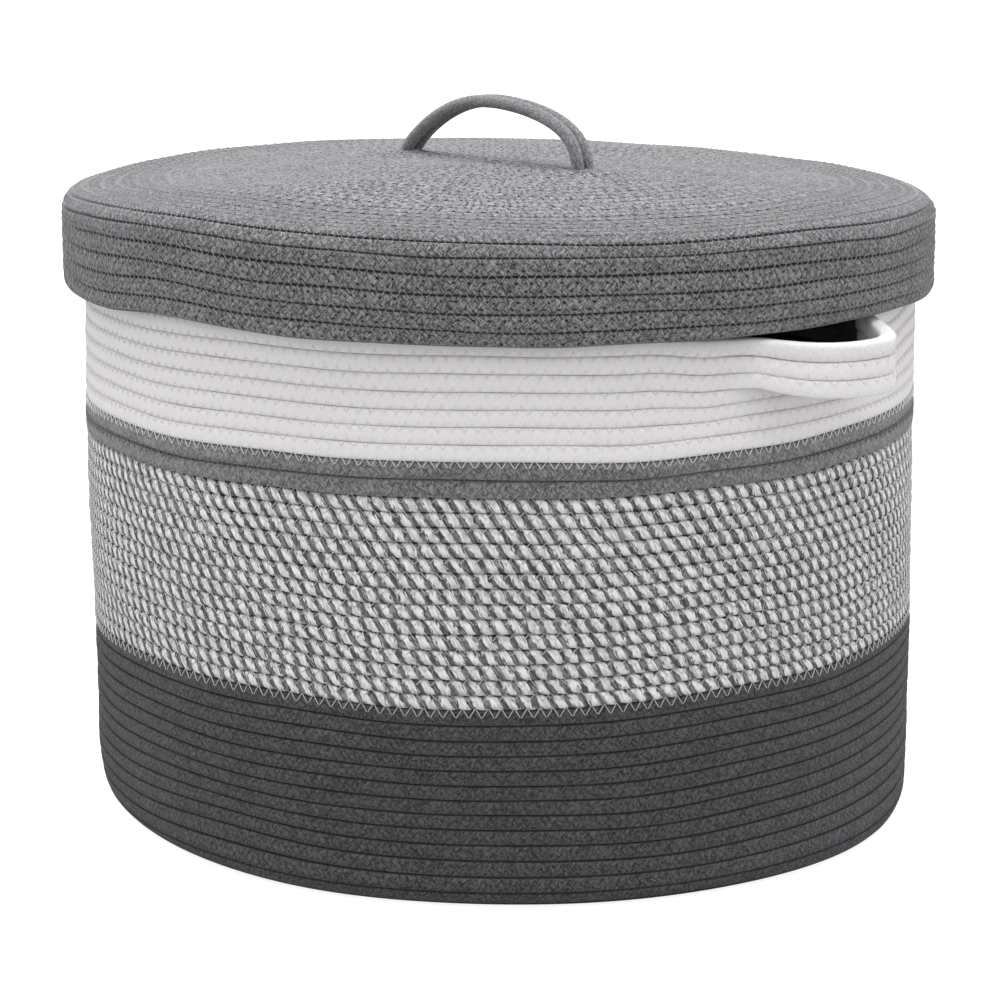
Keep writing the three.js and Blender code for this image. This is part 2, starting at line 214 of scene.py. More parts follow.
# The braided sleeve: a ribbon's length along the rope, its yarns and the strokes along a yarn, on
# the round rows and on the flush rows of the lid's top, and the number of ribbons round the rope
BRAID_PICK, BRAID_YARNS, BRAID_BARS = 4.6 * MM, 9, 1.6
FLUSH_PICK, FLUSH_YARNS, FLUSH_BARS = 3.2 * MM, 4, 1.0
BRAID_CARRIERS = 6

# The painted shade in a seam's groove: its width, that of its darkest part, and how much wider it
# is on flush rows
SEAM_WIDTH = 0.75 * MM
SEAM_CORE = 0.3 * MM
FLUSH_SEAM = 0.8 * MM
TWIST_SEAM = 0.7 * MM

# The needle's holes, painted dark as shade, and how fine the noises are that make them, the dashes
# of painted seam shade and the patches uneven
HOLE_SIZE = 0.75 * MM
HOLE_NOISE = 130
DASH_NOISE = 90
PATCH_NOISE = 35
THREAD_NOISE = 1500

# Lengths along the twisted rope: of a yarn's way across its strand, of a stroke, of a fibre, and
# of the yarns that stray over a strand's edge, smoothly and in steps
YARN_SLANT = 14 * MM
STROKE_LENGTH = 2.2 * MM
FIBRE_LENGTH = 1.6 * MM
STRAY_LENGTH = 1.3 * MM
STEP_LENGTH = 1.2 * MM


class Meridian:
    """Lines and arcs from the axis outwards: radius, height and heading at a distance."""

    def __init__(self, r, z, heading, pieces):
        self.pieces = []
        start = 0.0
        for length, bend in pieces:
            piece = (start, r, z, heading, bend / length)
            self.pieces.append(piece)
            r, z, heading = self.along(piece, length)
            start += length
        self.length = start

    @staticmethod
    def along(piece, distance):
        """Radius, height and heading at a distance along one piece."""
        _, r, z, heading, curvature = piece
        turned = heading + curvature * distance
        if curvature == 0:
            return r + distance * np.cos(heading), z + distance * np.sin(heading), turned
        return (
            r + (np.sin(turned) - np.sin(heading)) / curvature,
            z - (np.cos(turned) - np.cos(heading)) / curvature,
            turned,
        )

    def at(self, distance):
        """Radius, height and heading at distances from the start."""
        distance = np.atleast_1d(np.asarray(distance, float))
        found = np.zeros((3, len(distance)))
        for piece in self.pieces:
            here = distance >= piece[0]
            found[:, here] = np.array(self.along(piece, distance[here] - piece[0]))
        return found


def ripple(seed, waves, rise):
    """A smooth seeded unevenness, about -1 to 1, by the angle round and the distance up."""
    rng = np.random.default_rng(seed)
    count = len(waves)
    climb = rng.uniform(-1, 1, count) * TURN / rise
    phase = rng.uniform(0, TURN, count)
    size = rng.uniform(0.6, 1, count) / math.sqrt(count)

    def value(angle, distance):
        total = 0
        for wave, up, offset, share in zip(waves, climb, phase, size):
            total = total + share * np.sin(wave * angle + up * distance + offset)
        return total

    return value


def smooth(t):
    """0 to 1, level at both ends."""
    t = np.clip(t, 0, 1)
    return t * t * (3 - 2 * t)


def round_corner(even, flat, corner, radius, rope):
    """Places of seams that are even on the outer face, and so crowd inside it round a corner."""
    spread = corner * rope / 2 / radius
    turned = flat + corner
    outer = even + spread * np.minimum(even / turned, 1)
    return np.interp(
        outer, [0, flat, turned + spread, turned + spread + 1], [0, flat, turned, turned + 1])


# The body's coil
wall_foot = WALL_RADIUS + BASE_FLARE - CHARCOAL_ROPE / 2
wall_top = WALL_RADIUS - WHITE_ROPE / 2
base_run = wall_foot - BASE_CORNER
first = SimpleNamespace(base=0, charcoal=math.floor(base_run / CHARCOAL_ROPE))
first.twist = first.charcoal + CHARCOAL_WALL_TURNS
first.stripe = first.twist + TWIST_TURNS
first.white = first.stripe + STRIPE_TURNS
first.handle = first.white + WHITE_TURNS
first.rim = first.handle + HANDLE_TURNS


def body_seam(u):
    """The same with even rows, each as high as its rope is thick."""
    u = np.asarray(u, float)
    starts = [1, first.twist + 0.5, first.stripe + 0.5, first.white + 0.5, math.inf]
    pitches = [CHARCOAL_ROPE, TWIST_ROPE, STRIPE_ROPE, WHITE_ROPE]
    distance = 0
    for pitch, start, end in zip(pitches, starts, starts[1:]):
        distance = distance + pitch * np.maximum(0, np.minimum(u, end) - start)
    return distance


rim_distance = float(body_seam(first.rim + 0.5)) + RIM_TURNS * WHITE_ROPE
wall_run = rim_distance - base_run - BASE_CORNER * math.pi / 2
wall_lean = (wall_foot - wall_top) / wall_run
body_meridian = Meridian(0, CHARCOAL_ROPE / 2, 0, [
    (base_run, 0),
    (BASE_CORNER * (math.pi / 2 + wall_lean), math.pi / 2 + wall_lean),
    (wall_run, 0),
])


def body_rows(u):
    """Distance along the meridian of the seam below turn u, crowded round the corner."""
    corner = BASE_CORNER * (math.pi / 2 + wall_lean)
    return round_corner(body_seam(u), base_run, corner, BASE_CORNER, CHARCOAL_ROPE)


rim_height = body_meridian.at(rim_distance)[1][0]
white_height = body_meridian.at(body_seam(first.white + 0.5))[1][0]

# The lid's coil
skirt_radius = WALL_RADIUS + LID_CLEARANCE + LID_ROPE / 2
crown_reach = skirt_radius - LID_CORNER
crown_radius = (crown_reach**2 + LID_CROWN**2) / (2 * LID_CROWN)
crown_angle = math.asin(crown_reach / crown_radius)
shoulder_radius = LID_CORNER / (1 - math.sin(crown_angle))
crown_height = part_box("lid_top")[1].z - LID_ROPE / 2
shoulder_height = crown_height - LID_CROWN - shoulder_radius * math.cos(crown_angle)
lid_meridian = Meridian(0, crown_height, 0, [
    (crown_radius * crown_angle, -crown_angle),
    (shoulder_radius * (math.pi / 2 - crown_angle), crown_angle - math.pi / 2),
    (shoulder_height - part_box("lid_skirt")[0].z, 0),
])


def lid_rows(u):
    """Distance along the lid's meridian of the seam before turn u."""
    even = LID_ROPE * np.maximum(0, np.asarray(u, float) - 0.5)
    corner = shoulder_radius * (math.pi / 2 - crown_angle)
    return round_corner(even, crown_radius * crown_angle, corner, shoulder_radius, LID_ROPE)


# Side handles
def from_handle(angle):
    """Distance round the wall from the nearer handle's middle."""
    return np.arctan2(np.sin(2 * angle), np.cos(2 * angle)) / 2 * wall_top


def handle_out(angle):
    """A handle swings out slowly at one end and turns back short at the other."""
    past = from_handle(angle) - HANDLE_PEAK
    slow = np.clip(-past / (HANDLE_HALF_SPAN + HANDLE_PEAK), 0, 1)
    short = np.clip(past / (HANDLE_SHORT_SPAN - HANDLE_PEAK), 0, 1)
    return HANDLE_REACH * (1 - slow**2) ** 2 * (1 - short**2) ** 1.5


def handle_dip(angle):
    """How far the rows sink towards a handle."""
    past = (DIP_HALF_SPAN - np.abs(from_handle(angle))) / (DIP_HALF_SPAN - HANDLE_HALF_SPAN)
    return HANDLE_DIP * smooth(past)


def handle_droop(angle):
    """0 where a handle leaves the wall, and 1 at its outermost."""
    clear = WHITE_ROPE
    past = np.clip((handle_out(angle) - clear) / (HANDLE_REACH - clear), 0, 1)
    return 1 - (1 - past) ** 2


def body_sway(angle, turn, across):
    """How far the white rows swing out and sink near the handles."""
    share = np.clip((turn + across - first.white - 1) / (WHITE_TURNS - 1), 0, 1)
    swings = (turn >= first.handle) & (turn < first.rim)
    above = turn >= first.rim
    down = handle_dip(angle) * np.where(above, 0, np.where(swings, 1, share))
    lower = (first.rim - turn - across) / HANDLE_TURNS
    droop = (HANDLE_DROOP + HANDLE_SPREAD * lower) * handle_droop(angle)
    return swings, down + np.where(swings, droop, 0)


def no_sway(angle, turn, across):
    return np.zeros(len(angle), bool), np.zeros(len(angle))


def lean(points):
    """The soft basket leans and settles a little, to the sides of the photograph's view."""
    sideways = np.array([math.cos(BEARING), math.sin(BEARING), 0])
    height = points[:, 2]
    share = np.clip(height / rim_height, 0, 1)
    moved = points + np.outer(BASE_SHIFT + (RIM_SHIFT - BASE_SHIFT) * share, sideways)
    rows = ROW_TILT * smooth(height / (80 * MM))
    rim = RIM_TILT * smooth((height - white_height) / (rim_height - white_height))
    moved[:, 2] += (points @ sideways) * (rows - rim)
    return moved


def dents(places, angle, z):
    """The sum of soft round unevennesses, each at its bearing and height."""
    total = np.zeros(len(angle))
    for bearing, height, wide, tall, amount in places:
        beside = angle - (BEARING - math.pi / 2) - math.radians(bearing)
        beside = np.arctan2(np.sin(beside), np.cos(beside)) / math.radians(wide)
        above = (z - height * MM) / (tall * MM)
        total += amount * MM * np.exp(-beside**2 - above**2)
    return total


def slack(places, angle, r, z):
    """How far the rows rise off their even course."""
    rise = dents(places, angle, z)
    free = smooth(z / (25 * MM)) * smooth(r / (240 * MM))
    return rise * free


def foot_bulge(angle, r, z):
    """How far the foot of the wall, and the base's edge with it, bulges out."""
    return dents(FOOT_BULGE, angle, z) * smooth((r - 140 * MM) / (110 * MM))


def loop_pull(angle, r, z):
    """How far the lid is pulled up at the feet of the rope loop."""
    x, y = r * np.cos(angle) - LOOP_SHIFT, r * np.sin(angle)
    apart = np.hypot(np.abs(x) - LOOP_HALF_SPAN, y) / PULL_RADIUS
    return PULL * np.exp(-apart**2)


def no_push(angle, r, z):
    return np.zeros(len(angle))


class Coil:
    """A rope wound in a spiral along a meridian, and the seam between its rows.

    outside is 1 where the outer face is on the right of the meridian's course, -1 on the left.
    sway, waver, bulge and pull displace the rows, and places says where the rows are slack.
    """

    def __init__(self, meridian, seam, limit, outside, sway, waver, places, bulge, pull, end):
        self.meridian = meridian
        self.seam = lambda u: np.clip(seam(u), 0, limit)
        self.outside = outside
        self.sway = sway
        self.waver = waver
        self.places = places
        self.bulge = bulge
        self.pull = pull
        self.grid = np.linspace(-1, end + 2, GRID_PER_TURN * (end + 3) + 1)
        radius = meridian.at(self.seam(self.grid))[0]
        lengths = TURN * (radius[1:] + radius[:-1]) / 2 * np.diff(self.grid)
        self.lengths = np.concatenate([[0], np.cumsum(lengths)])

    def row(self, u):
        return self.seam(u + 1) - self.seam(u)

    def sewn(self, u):
        """Length of the seam up to turn u."""
        return np.interp(u, self.grid, self.lengths)

    def turn_of(self, length):
        return np.interp(length, self.lengths, self.grid)

    def place(self, u, across, height):
        """Points over the row that starts at turn u, with the ways across it and out of it."""
        u = np.asarray(u, float)
        across = np.broadcast_to(across, u.shape)
        distance = self.seam(u) + across * self.row(u)
        angle = SPLICE_ANGLE + TURN * u
        r, z, heading = self.meridian.at(distance)
        swings, down = self.sway(angle, u, across)
        swing = np.where(swings, handle_out(angle), 0)
        step = 0.001
        slope = (handle_out(angle + step) - handle_out(angle - step)) / (2 * step)
        slope = np.where(swings, slope, 0)
        radial = np.stack([np.cos(angle), np.sin(angle), 0 * angle], 1)
        around = np.stack([-np.sin(angle), np.cos(angle), 0 * angle], 1)
        level = (r + swing)[:, None] * radial - slope[:, None] * around
        level /= np.maximum(np.linalg.norm(level, axis=1), 1e-9)[:, None]
        level = np.where(r[:, None] > 1e-6, level, radial)
        upright = np.array([0, 0, 1.0])
        up = np.cos(heading)[:, None] * level + np.sin(heading)[:, None] * upright
        out = self.outside * (np.sin(heading)[:, None] * level - np.cos(heading)[:, None] * upright)
        waver_up, waver_out = self.waver(angle, distance, z)
        rise = slack(self.places, angle, r, z) + self.pull(angle, r, z) - down
        swing = swing + self.bulge(angle, r, z)
        centre = (r + swing)[:, None] * radial + (z + rise)[:, None] * upright
        points = centre + up * waver_up[:, None] + out * (waver_out + height)[:, None]
        return points, up, out

    def path(self, start, end, step):
        """Turns from start to end, about a step apart along the rope."""
        turns = [start]
        while turns[-1] < end:
            r = max(self.meridian.at(self.seam(turns[-1] + 0.5))[0][0], step)
            turns.append(turns[-1] + min(1 / LEAST_PER_TURN, step / (TURN * r)))
        turns[-1] = end
        return np.array(turns)


body_drift = ripple(3, [3, 5, 8, 13], 0.09)
body_swell = ripple(5, [2, 3, 5, 9], 0.14)
row_drift = ripple(11, [7, 12, 17, 23], 0.02)


def body_waver(angle, distance, z):
    """The wall's rows wander a little, and the base lies flat."""
    free = smooth((z - 12 * MM) / (40 * MM))
    up = BODY_DRIFT * body_drift(angle, distance) + ROW_DRIFT * row_drift(angle, distance)
    out = BODY_SWELL * body_swell(angle, distance) + ROW_SWELL * row_drift(angle, distance)
    belly = sum(
        amount * MM * np.exp(-((z - height * MM) / (tall * MM)) ** 2)
        for height, tall, amount in WALL_SWELLS)
    return up * free, out * free + belly * smooth(z / (20 * MM))


lid_drift = ripple(7, [2, 5, 7, 11], 0.05)
lid_swell = ripple(9, [2, 3, 4, 6], 0.12)


def lid_waver(angle, distance, z):
    """The lid's rows wander too, less towards the middle."""
    edge = smooth(distance / (120 * MM))
    up = LID_DRIFT * lid_drift(angle, distance) + ROW_SWELL * row_drift(angle, distance)
    out = LID_SWELL * lid_swell(angle, distance) + ROW_SWELL * row_drift(angle, distance)
    return up * edge, out * edge


last_turn = first.rim + math.ceil(RIM_TURNS + 0.5)
body = Coil(
    body_meridian, body_rows, rim_distance, outside=1, sway=body_sway, waver=body_waver,
    places=BODY_SLACK, bulge=foot_bulge, pull=no_push, end=last_turn)
lid_end = lid_meridian.length / LID_ROPE + 0.5
lid_last = math.ceil(lid_end)
lid = Coil(
    lid_meridian, lid_rows, lid_meridian.length, outside=-1, sway=no_sway, waver=lid_waver,
    places=LID_SLACK, bulge=no_push, pull=loop_pull, end=lid_last)


def lid_flush(u):
    """1 on the lid's top, where the rows lie flush, 0 on its skirt and -1 on the round last row."""
    inside = crown_radius * crown_angle - 2.5 * LID_ROPE - lid.seam(u + 0.5)
    return smooth(inside / (4 * LID_ROPE)) - smooth((u - lid_end + 1) / 0.1)


class Section:
    """A rope's outline, between round and square, by the share of the way round it."""

    def __init__(self, fullness, crown=0):
        self.fullness, self.crown = fullness, crown
        angle = np.linspace(0, TURN, 4001)
        self.x = np.sign(np.cos(angle)) * np.abs(np.cos(angle)) ** (2 / fullness)
        self.y = np.sign(np.sin(angle)) * np.abs(np.sin(angle)) ** (2 / fullness)
        self.y *= 1 - crown * self.x**2
        steps = np.hypot(np.diff(self.x), np.diff(self.y))
        self.perimeter = steps.sum()
        self.share = np.concatenate([[0], np.cumsum(steps)]) / self.perimeter

    def at(self, share):
        share = share % 1
        return np.interp(share, self.share, self.x), np.interp(share, self.share, self.y)

    def shares(self, sides):
        """Places round it, closer together where it turns."""
        bends = np.unwrap(np.arctan2(np.diff(self.y), np.diff(self.x)))
        turned = np.concatenate([[0], np.cumsum(np.abs(np.diff(bends))), [0]])
        turned[-1] = turned[-2]
        spread = (self.share + turned / turned[-1]) / 2
        return np.interp(np.arange(sides) / sides, spread, self.share)

    def height(self, across):
        """The surface's share of the half depth, at a share across a row."""
        x = np.clip(np.abs(2 * across - 1), 0, 1)
        return (1 - x**self.fullness) ** (1 / self.fullness) * (1 - self.crown * x**2)


braid_section = Section(BRAID_FULLNESS)
flush_section = Section(FLUSH_FULLNESS)
white_section = Section(WHITE_FULLNESS, WHITE_CROWN)
twist_section = Section(TWIST_FULLNESS, TWIST_CROWN)
round_section = Section(2)


def add_piece(name, vertices, faces, corners, material, slot, hides=()):
    """A mesh with values kept at its corners, which moves with no body yet."""
    mesh = bpy.data.meshes.new(name)
    mesh.from_pydata(vertices.tolist(), [], faces)
    for label, values in corners.items():
        attribute = mesh.attributes.new(label, "FLOAT_VECTOR", "CORNER")
        attribute.data.foreach_set("vector", np.asarray(values, np.float32).ravel())
    mesh.polygons.foreach_set("use_smooth", [True] * len(mesh.polygons))
    mesh.materials.append(material)
    mesh.update()
    piece = bpy.data.objects.new(name, mesh)
    bpy.context.scene.collection.objects.link(piece)
    if hides:
        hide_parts(*hides)
    return piece


def sweep(name, route, section, material, slot, hides=(), strands=0,
          flush_section=flush_section):
    """A rope along a route, kept with where its yarns and stitches are.

    Its strands, where it has them, wind round it as ridges. It takes flush_section where the
    route is flush.
    """
    points, up, out = route.points, route.up, route.out
    count = len(points)
    steps = np.linalg.norm(np.diff(points, axis=0), axis=1)
    length = np.concatenate([[0], np.cumsum(steps)])
    along = points[count // 2 + 1] - points[count // 2]
    flip = np.dot(np.cross(up[count // 2], out[count // 2]), along) < 0
    if strands:
        sides = strands * STRAND_SIDES
        part = np.arange(sides) % STRAND_SIDES / STRAND_SIDES
        strand = np.arange(sides) // STRAND_SIDES
        width = np.where(strand % 2 == 0, WHITE_SHARE, 1 - WHITE_SHARE) * 2 / strands
        ring = (strand // 2 * 2 + strand % 2 * 2 * WHITE_SHARE) / strands + part * width
        ridge = 1 - RIDGE * (1 - np.sin(math.pi * part))
        wobble = 0.012 * np.sin(length[:, None] / (11 * MM) + 2.4 * strand[None, :])
        share = ring[None, :] + wobble + (length * (-1 if flip else 1) / TWIST_LAY)[:, None]
    else:
        sides = BRAID_SIDES
        ring = section.shares(sides)
        ridge = np.ones(sides)
        share = np.broadcast_to(ring, (count, sides))
    x, y = section.at(share)
    if route.flush.any():
        flush_x, flush_y = flush_section.at(share)
        x = x + (flush_x - x) * route.flush[:, None]
        y = y + (flush_y - y) * route.flush[:, None]
    share_across, y = x * ridge, y * ridge * route.half_depth[:, None]
    flare = (route.flare_low[:, None] * (1 - share_across)
             + route.flare_high[:, None] * (1 + share_across)) / 2
    x = share_across * route.half_width[:, None]
    moved_up = (x + y * flare)[..., None] * up[:, None]
    vertices = points[:, None] + moved_up + y[..., None] * out[:, None]
    vertices = lean(vertices.reshape(-1, 3))

    i, j = np.meshgrid(np.arange(count - 1), np.arange(sides), indexing="ij")
    i, j = i.ravel(), j.ravel()
    after = (j + 1) % sides
    ring_ends = [(i, j, 0), (i, after, 1), (i + 1, after, 1), (i + 1, j, 0)]
    if flip:
        ring_ends.reverse()
    faces = np.stack([a * sides + b for a, b, _ in ring_ends], 1)
    closed_ring = np.append(ring, ring[0] + 1)

    def at_corners(value):
        return np.stack([value(a, b, j + late) for a, b, late in ring_ends], 1)

    weave = np.stack([
        at_corners(lambda a, b, k: length[a]),
        at_corners(lambda a, b, k: closed_ring[k]),
        at_corners(lambda a, b, k: route.flush[a]),
    ], -1)
    sewing = np.stack([
        at_corners(lambda a, b, k: route.sewn_below[a]),
        at_corners(lambda a, b, k: route.sewn_above[a]),
        at_corners(lambda a, b, k: share_across[a, b]),
    ], -1)
    corners = {"weave": weave, "sewing": sewing}
    if strands:
        corners["strand"] = np.stack([
            at_corners(lambda a, b, k: (k - j // STRAND_SIDES * STRAND_SIDES) / STRAND_SIDES),
            at_corners(lambda a, b, k: j // STRAND_SIDES % 2),
            at_corners(lambda a, b, k: j // STRAND_SIDES),
        ], -1)
    caps = [list(range(sides)), list(range((count - 1) * sides, count * sides))]
    caps[0 if not flip else 1].reverse()
    for label, values in corners.items():
        corners[label] = np.concatenate([values.reshape(-1, 3), np.zeros((2 * sides, 3))])
    return add_piece(name, vertices, faces.tolist() + caps, corners, material, slot, hides)


def coil_route(coil, start, end, depth, stitch=BODY_STITCH, step=BRAID_STEP, flush=None):
    """The middle line of a stretch of a coil."""
    u = coil.path(start, end, step)
    points, up, out = coil.place(u, 0.5, 0)
    low, _, out_low = coil.place(u, 0, 0)
    high, _, out_high = coil.place(u, 1, 0)
    row = np.linalg.norm(high - low, axis=1)
    up = np.where(row[:, None] > 1 * MM, (high - low) / np.maximum(row, 1 * MM)[:, None], up)
    out = out - up * (out * up).sum(1)[:, None]
    out /= np.linalg.norm(out, axis=1)[:, None]

    def flare(towards):
        """How much a side of the row widens outwards, where the rows turn round a corner."""
        return (towards * up).sum(1) / np.maximum((towards * out).sum(1), 0.5)

    return SimpleNamespace(
        points=(low + high) / 2 * 0.5 + points * 0.5, up=up, out=out,
        half_width=row / 2,
        half_depth=depth / 2 * np.clip(row / depth * 1.6, 0.3, 1),
        flare_low=flare(out_low), flare_high=flare(out_high),
        sewn_below=coil.sewn(u) / stitch, sewn_above=coil.sewn(u + 1) / stitch,
        flush=flush(u) if flush else np.zeros(len(u)),
    )


def stitch_run(name, coil, start, end, depth_below, depth_above, section, material, slot, stitch,
               reach_below=REACH, reach_above=REACH, dip=0.35 * MM, thick=THREAD, skip=None):
    """Zigzag thread over a stretch of a seam, each stroke from one needle hole to the next."""
    low, high = coil.sewn(start) / stitch, coil.sewn(end) / stitch
    needle = np.arange(math.ceil(2 * low), math.floor(2 * high) + 1)
    u = coil.turn_of(needle / 2 * stitch)
    keep = ~skip(u) if skip else np.ones(len(u), bool)
    over = needle % 2 == 1
    share_above = np.minimum(reach_above / np.maximum(coil.row(u), MM), 0.5)
    share_below = 1 - np.minimum(reach_below / np.maximum(coil.row(u - 1), MM), 0.5)

    def over_row(turn, share, depth):
        return coil.place(turn, share, section.height(share) * depth / 2 + THREAD_LIFT)

    above, _, out_above = over_row(u, share_above, depth_above)
    below, _, out_below = over_row(u - 1, share_below, depth_below)
    hole = np.where(over[:, None], above, below)
    out = np.where(over[:, None], out_above, out_below)
    sunk = hole - out * THREAD_SINK
    wanted = keep[:-1] & keep[1:] & (np.diff(u) < 0.2)
    a, b = sunk[:-1][wanted], sunk[1:][wanted]
    bend = 0.12
    near_a = (hole[:-1] * (1 - bend) + hole[1:] * bend)[wanted]
    near_b = (hole[:-1] * bend + hole[1:] * (1 - bend))[wanted]
    outward = (out[:-1] + out[1:])[wanted]
    outward /= np.linalg.norm(outward, axis=1)[:, None]
    middle = (near_a + near_b) / 2 - outward * dip
    rings = np.stack([a, near_a, middle, near_b, b], 1)
    direction = (b - a) / np.linalg.norm(b - a, axis=1)[:, None]
    side = np.cross(direction, outward)
    corners = []
    for angle in (math.pi / 2, math.pi * 7 / 6, math.pi * 11 / 6):
        offset = (side * math.cos(angle) + outward * math.sin(angle)) * thick / 2
        corners.append(rings + offset[:, None])
    vertices = np.stack(corners, 2)
    strokes, stations = vertices.shape[:2]
    base = (np.arange(strokes) * stations * 3)[:, None]
    faces = []
    for ring in range(stations - 1):
        for j in range(3):
            after = (j + 1) % 3
            quad = [ring * 3 + j, ring * 3 + 3 + j, ring * 3 + 3 + after, ring * 3 + after]
            faces.append(base + quad)
    quads = np.concatenate(faces).tolist()
    last = (stations - 1) * 3
    ends = np.concatenate([base + [0, 1, 2], base + [last + 2, last + 1, last]]).tolist()
    return add_piece(name, lean(vertices.reshape(-1, 3)), quads + ends, {}, material, slot)


class Value:
    """A shader socket that takes part in arithmetic, each operation a Math node."""

    def __init__(self, tree, socket):
        self.tree = tree
        self.socket = socket

    def math(self, operation, *others):
        node = self.tree.nodes.new("ShaderNodeMath")
        node.operation = operation
        for slot, value in zip(node.inputs, (self, *others)):
            if isinstance(value, Value):
                self.tree.links.new(value.socket, slot)
            else:
                slot.default_value = value
        return Value(self.tree, node.outputs[0])

    def __add__(self, other):
        return self.math("ADD", other)

    def __sub__(self, other):
        return self.math("SUBTRACT", other)

    def __mul__(self, other):
        return self.math("MULTIPLY", other)

    def between(self, low, high):
        """0 below low, 1 above high, smooth between."""
        node = self.tree.nodes.new("ShaderNodeMapRange")
        node.interpolation_type = "SMOOTHSTEP"
        node.inputs["From Min"].default_value = low
        node.inputs["From Max"].default_value = high
        self.tree.links.new(self.socket, node.inputs["Value"])
        return Value(self.tree, node.outputs["Result"])

    def towards(self, other, share):
        return self + (other - self) * share


def split(tree, name):
    """The three values kept at a mesh's corners under a name."""
    attribute = tree.nodes.new("ShaderNodeAttribute")
    attribute.attribute_name = name
    parts = tree.nodes.new("ShaderNodeSeparateXYZ")
    tree.links.new(attribute.outputs["Vector"], parts.inputs[0])
    return [Value(tree, parts.outputs[i]) for i in range(3)]


def noise(tree, coordinates, scale, detail, roughness=0.6):
    """Noise over two values, or over the place in space."""
    texture = tree.nodes.new("ShaderNodeTexNoise")
    texture.inputs["Scale"].default_value = scale
    texture.inputs["Detail"].default_value = detail
    texture.inputs["Roughness"].default_value = roughness
    if coordinates is None:
        place = tree.nodes.new("ShaderNodeTexCoord")
        tree.links.new(place.outputs["Object"], texture.inputs["Vector"])
    else:
        texture.noise_dimensions = "3D"
        joined = tree.nodes.new("ShaderNodeCombineXYZ")
        for slot, value in zip(joined.inputs, coordinates):
            tree.links.new(value.socket, slot)
        tree.links.new(joined.outputs[0], texture.inputs["Vector"])
    return Value(tree, texture.outputs["Fac"])


def linear(colour):
    """A colour written as sRGB steps of 255, as the shader takes it."""
    steps = np.array(colour) / 255
    values = np.where(steps <= 0.04045, steps / 12.92, ((steps + 0.055) / 1.055) ** 2.4)
    return (*values, 1)


def painted(tree, colours, share):
    """A colour ramp, as (place, colour) pairs, read at a value."""
    ramp = tree.nodes.new("ShaderNodeValToRGB")
    tree.links.new(share.socket, ramp.inputs[0])
    stops = ramp.color_ramp.elements
    while len(stops) < len(colours):
        stops.new(0.5)
    for stop, (place, colour) in zip(stops, colours):
        stop.position = place
        stop.color = linear(colour)
    return ramp.outputs["Color"]


def mixed(tree, a, b, share):
    """Colour a where the share is 0, and b where it is 1."""
    node = tree.nodes.new("ShaderNodeMix")
    node.data_type = "RGBA"
    factor, colour_a, colour_b = (node.inputs[i] for i in (0, 6, 7))
    tree.links.new(share.socket, factor)
    tree.links.new(a, colour_a)
    tree.links.new(b, colour_b)
    return node.outputs[2]


def new_material(name, roughness, sheen):
    """A matt cotton material with a soft sheen."""
    material = bpy.data.materials.new(name)
    material.use_nodes = True
    tree = material.node_tree
    shader = tree.nodes["Principled BSDF"]
    shader.inputs["Roughness"].default_value = roughness
    shader.inputs["Specular IOR Level"].default_value = 0.1
    shader.inputs["Sheen Weight"].default_value = sheen
    shader.inputs["Sheen Roughness"].default_value = 0.6
    shader.inputs["Sheen Tint"].default_value = (0.96, 0.95, 1, 1)
    return material, tree, shader


def raise_surface(tree, shader, height, distance):
    bump = tree.nodes.new("ShaderNodeBump")
    bump.inputs["Distance"].default_value = distance
    bump.inputs["Strength"].default_value = 1.0
    tree.links.new(height.socket, bump.inputs["Height"])
    tree.links.new(bump.outputs["Normal"], shader.inputs["Normal"])


# The mask for the painted shade in the grooves between rows
def near_seam(tree, half_row, wide, narrow, wider=None):
    """1 at a row's seams, and 0 further from them than wide, or than wider adds to it."""
    across = split(tree, "sewing")[2].math("ABSOLUTE") * half_row
    if wider is not None:
        across = across + wider
    return across.between(half_row - wide, half_row - narrow)


def needle_holes(tree, half_row, stitch, reach_below=REACH, reach_above=REACH, size=HOLE_SIZE,
                 flush=None):
    """1 in the small holes where the needle went through this row, near both its seams."""
    below, above, across = split(tree, "sewing")
    across = across * half_row
    from_low = (below.math("FRACT") - 0.5) * stitch
    from_high = ((above + 0.5).math("FRACT") - 0.5) * stitch
    up_low = across + (half_row - reach_above)
    up_high = across - (half_row - reach_below)
    if flush is not None:
        drawn_out = flush * -0.6 + 1.0
        up_low, up_high = up_low * drawn_out, up_high * drawn_out

    def apart(a, b):
        return (a * a + b * b).math("SQRT")

    nearest = apart(from_low, up_low).math("MINIMUM", apart(from_high, up_high))
    uneven = noise(tree, None, HOLE_NOISE, 1).between(0.33, 0.55)
    return nearest.between(size, size * 0.4) * uneven


def random_cell(tree, *coordinates):
    """A random value for each whole step of the coordinates."""
    texture = tree.nodes.new("ShaderNodeTexWhiteNoise")
    texture.noise_dimensions = "3D"
    joined = tree.nodes.new("ShaderNodeCombineXYZ")
    for slot, value in zip(joined.inputs, coordinates):
        tree.links.new(value.math("FLOOR").socket, slot)
    tree.links.new(joined.outputs[0], texture.inputs["Vector"])
    return Value(tree, texture.outputs["Value"])


